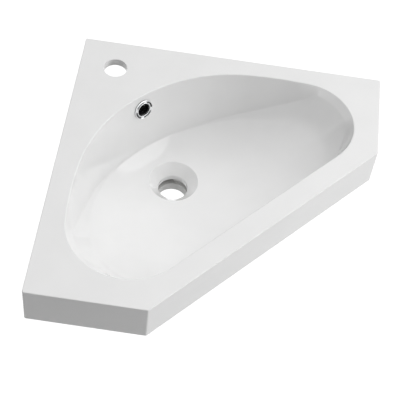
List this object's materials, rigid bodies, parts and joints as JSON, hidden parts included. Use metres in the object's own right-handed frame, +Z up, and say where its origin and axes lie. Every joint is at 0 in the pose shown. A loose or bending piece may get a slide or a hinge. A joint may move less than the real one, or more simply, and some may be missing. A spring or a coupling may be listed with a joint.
{
  "type": "corner basin",
  "caption": "Wall-hung corner hand basin with a rounded triangular bowl, one tap hole, an open outlet and an overflow with a chrome ring.",
  "frame": {"origin": "corner of the room, at the level of the deck's top face", "axes": "+X along the right-hand wall, -Y along the left-hand wall, +Z up"},
  "size_m": [0.455, 0.465, 0.161],
  "materials": {
    "casting": "cast mineral with a glossy white gelcoat",
    "duct": "moulded, satin",
    "ring": "polished chrome",
    "sleeve": "black, glossy",
    "seal": "soft, matt"
  },
  "bodies": {
    "root": {"basin_body": "casting", "overflow_duct": "duct", "overflow_ring": "ring", "overflow_sleeve": "sleeve", "overflow_seal": "seal"}
  },
  "joints": []
}
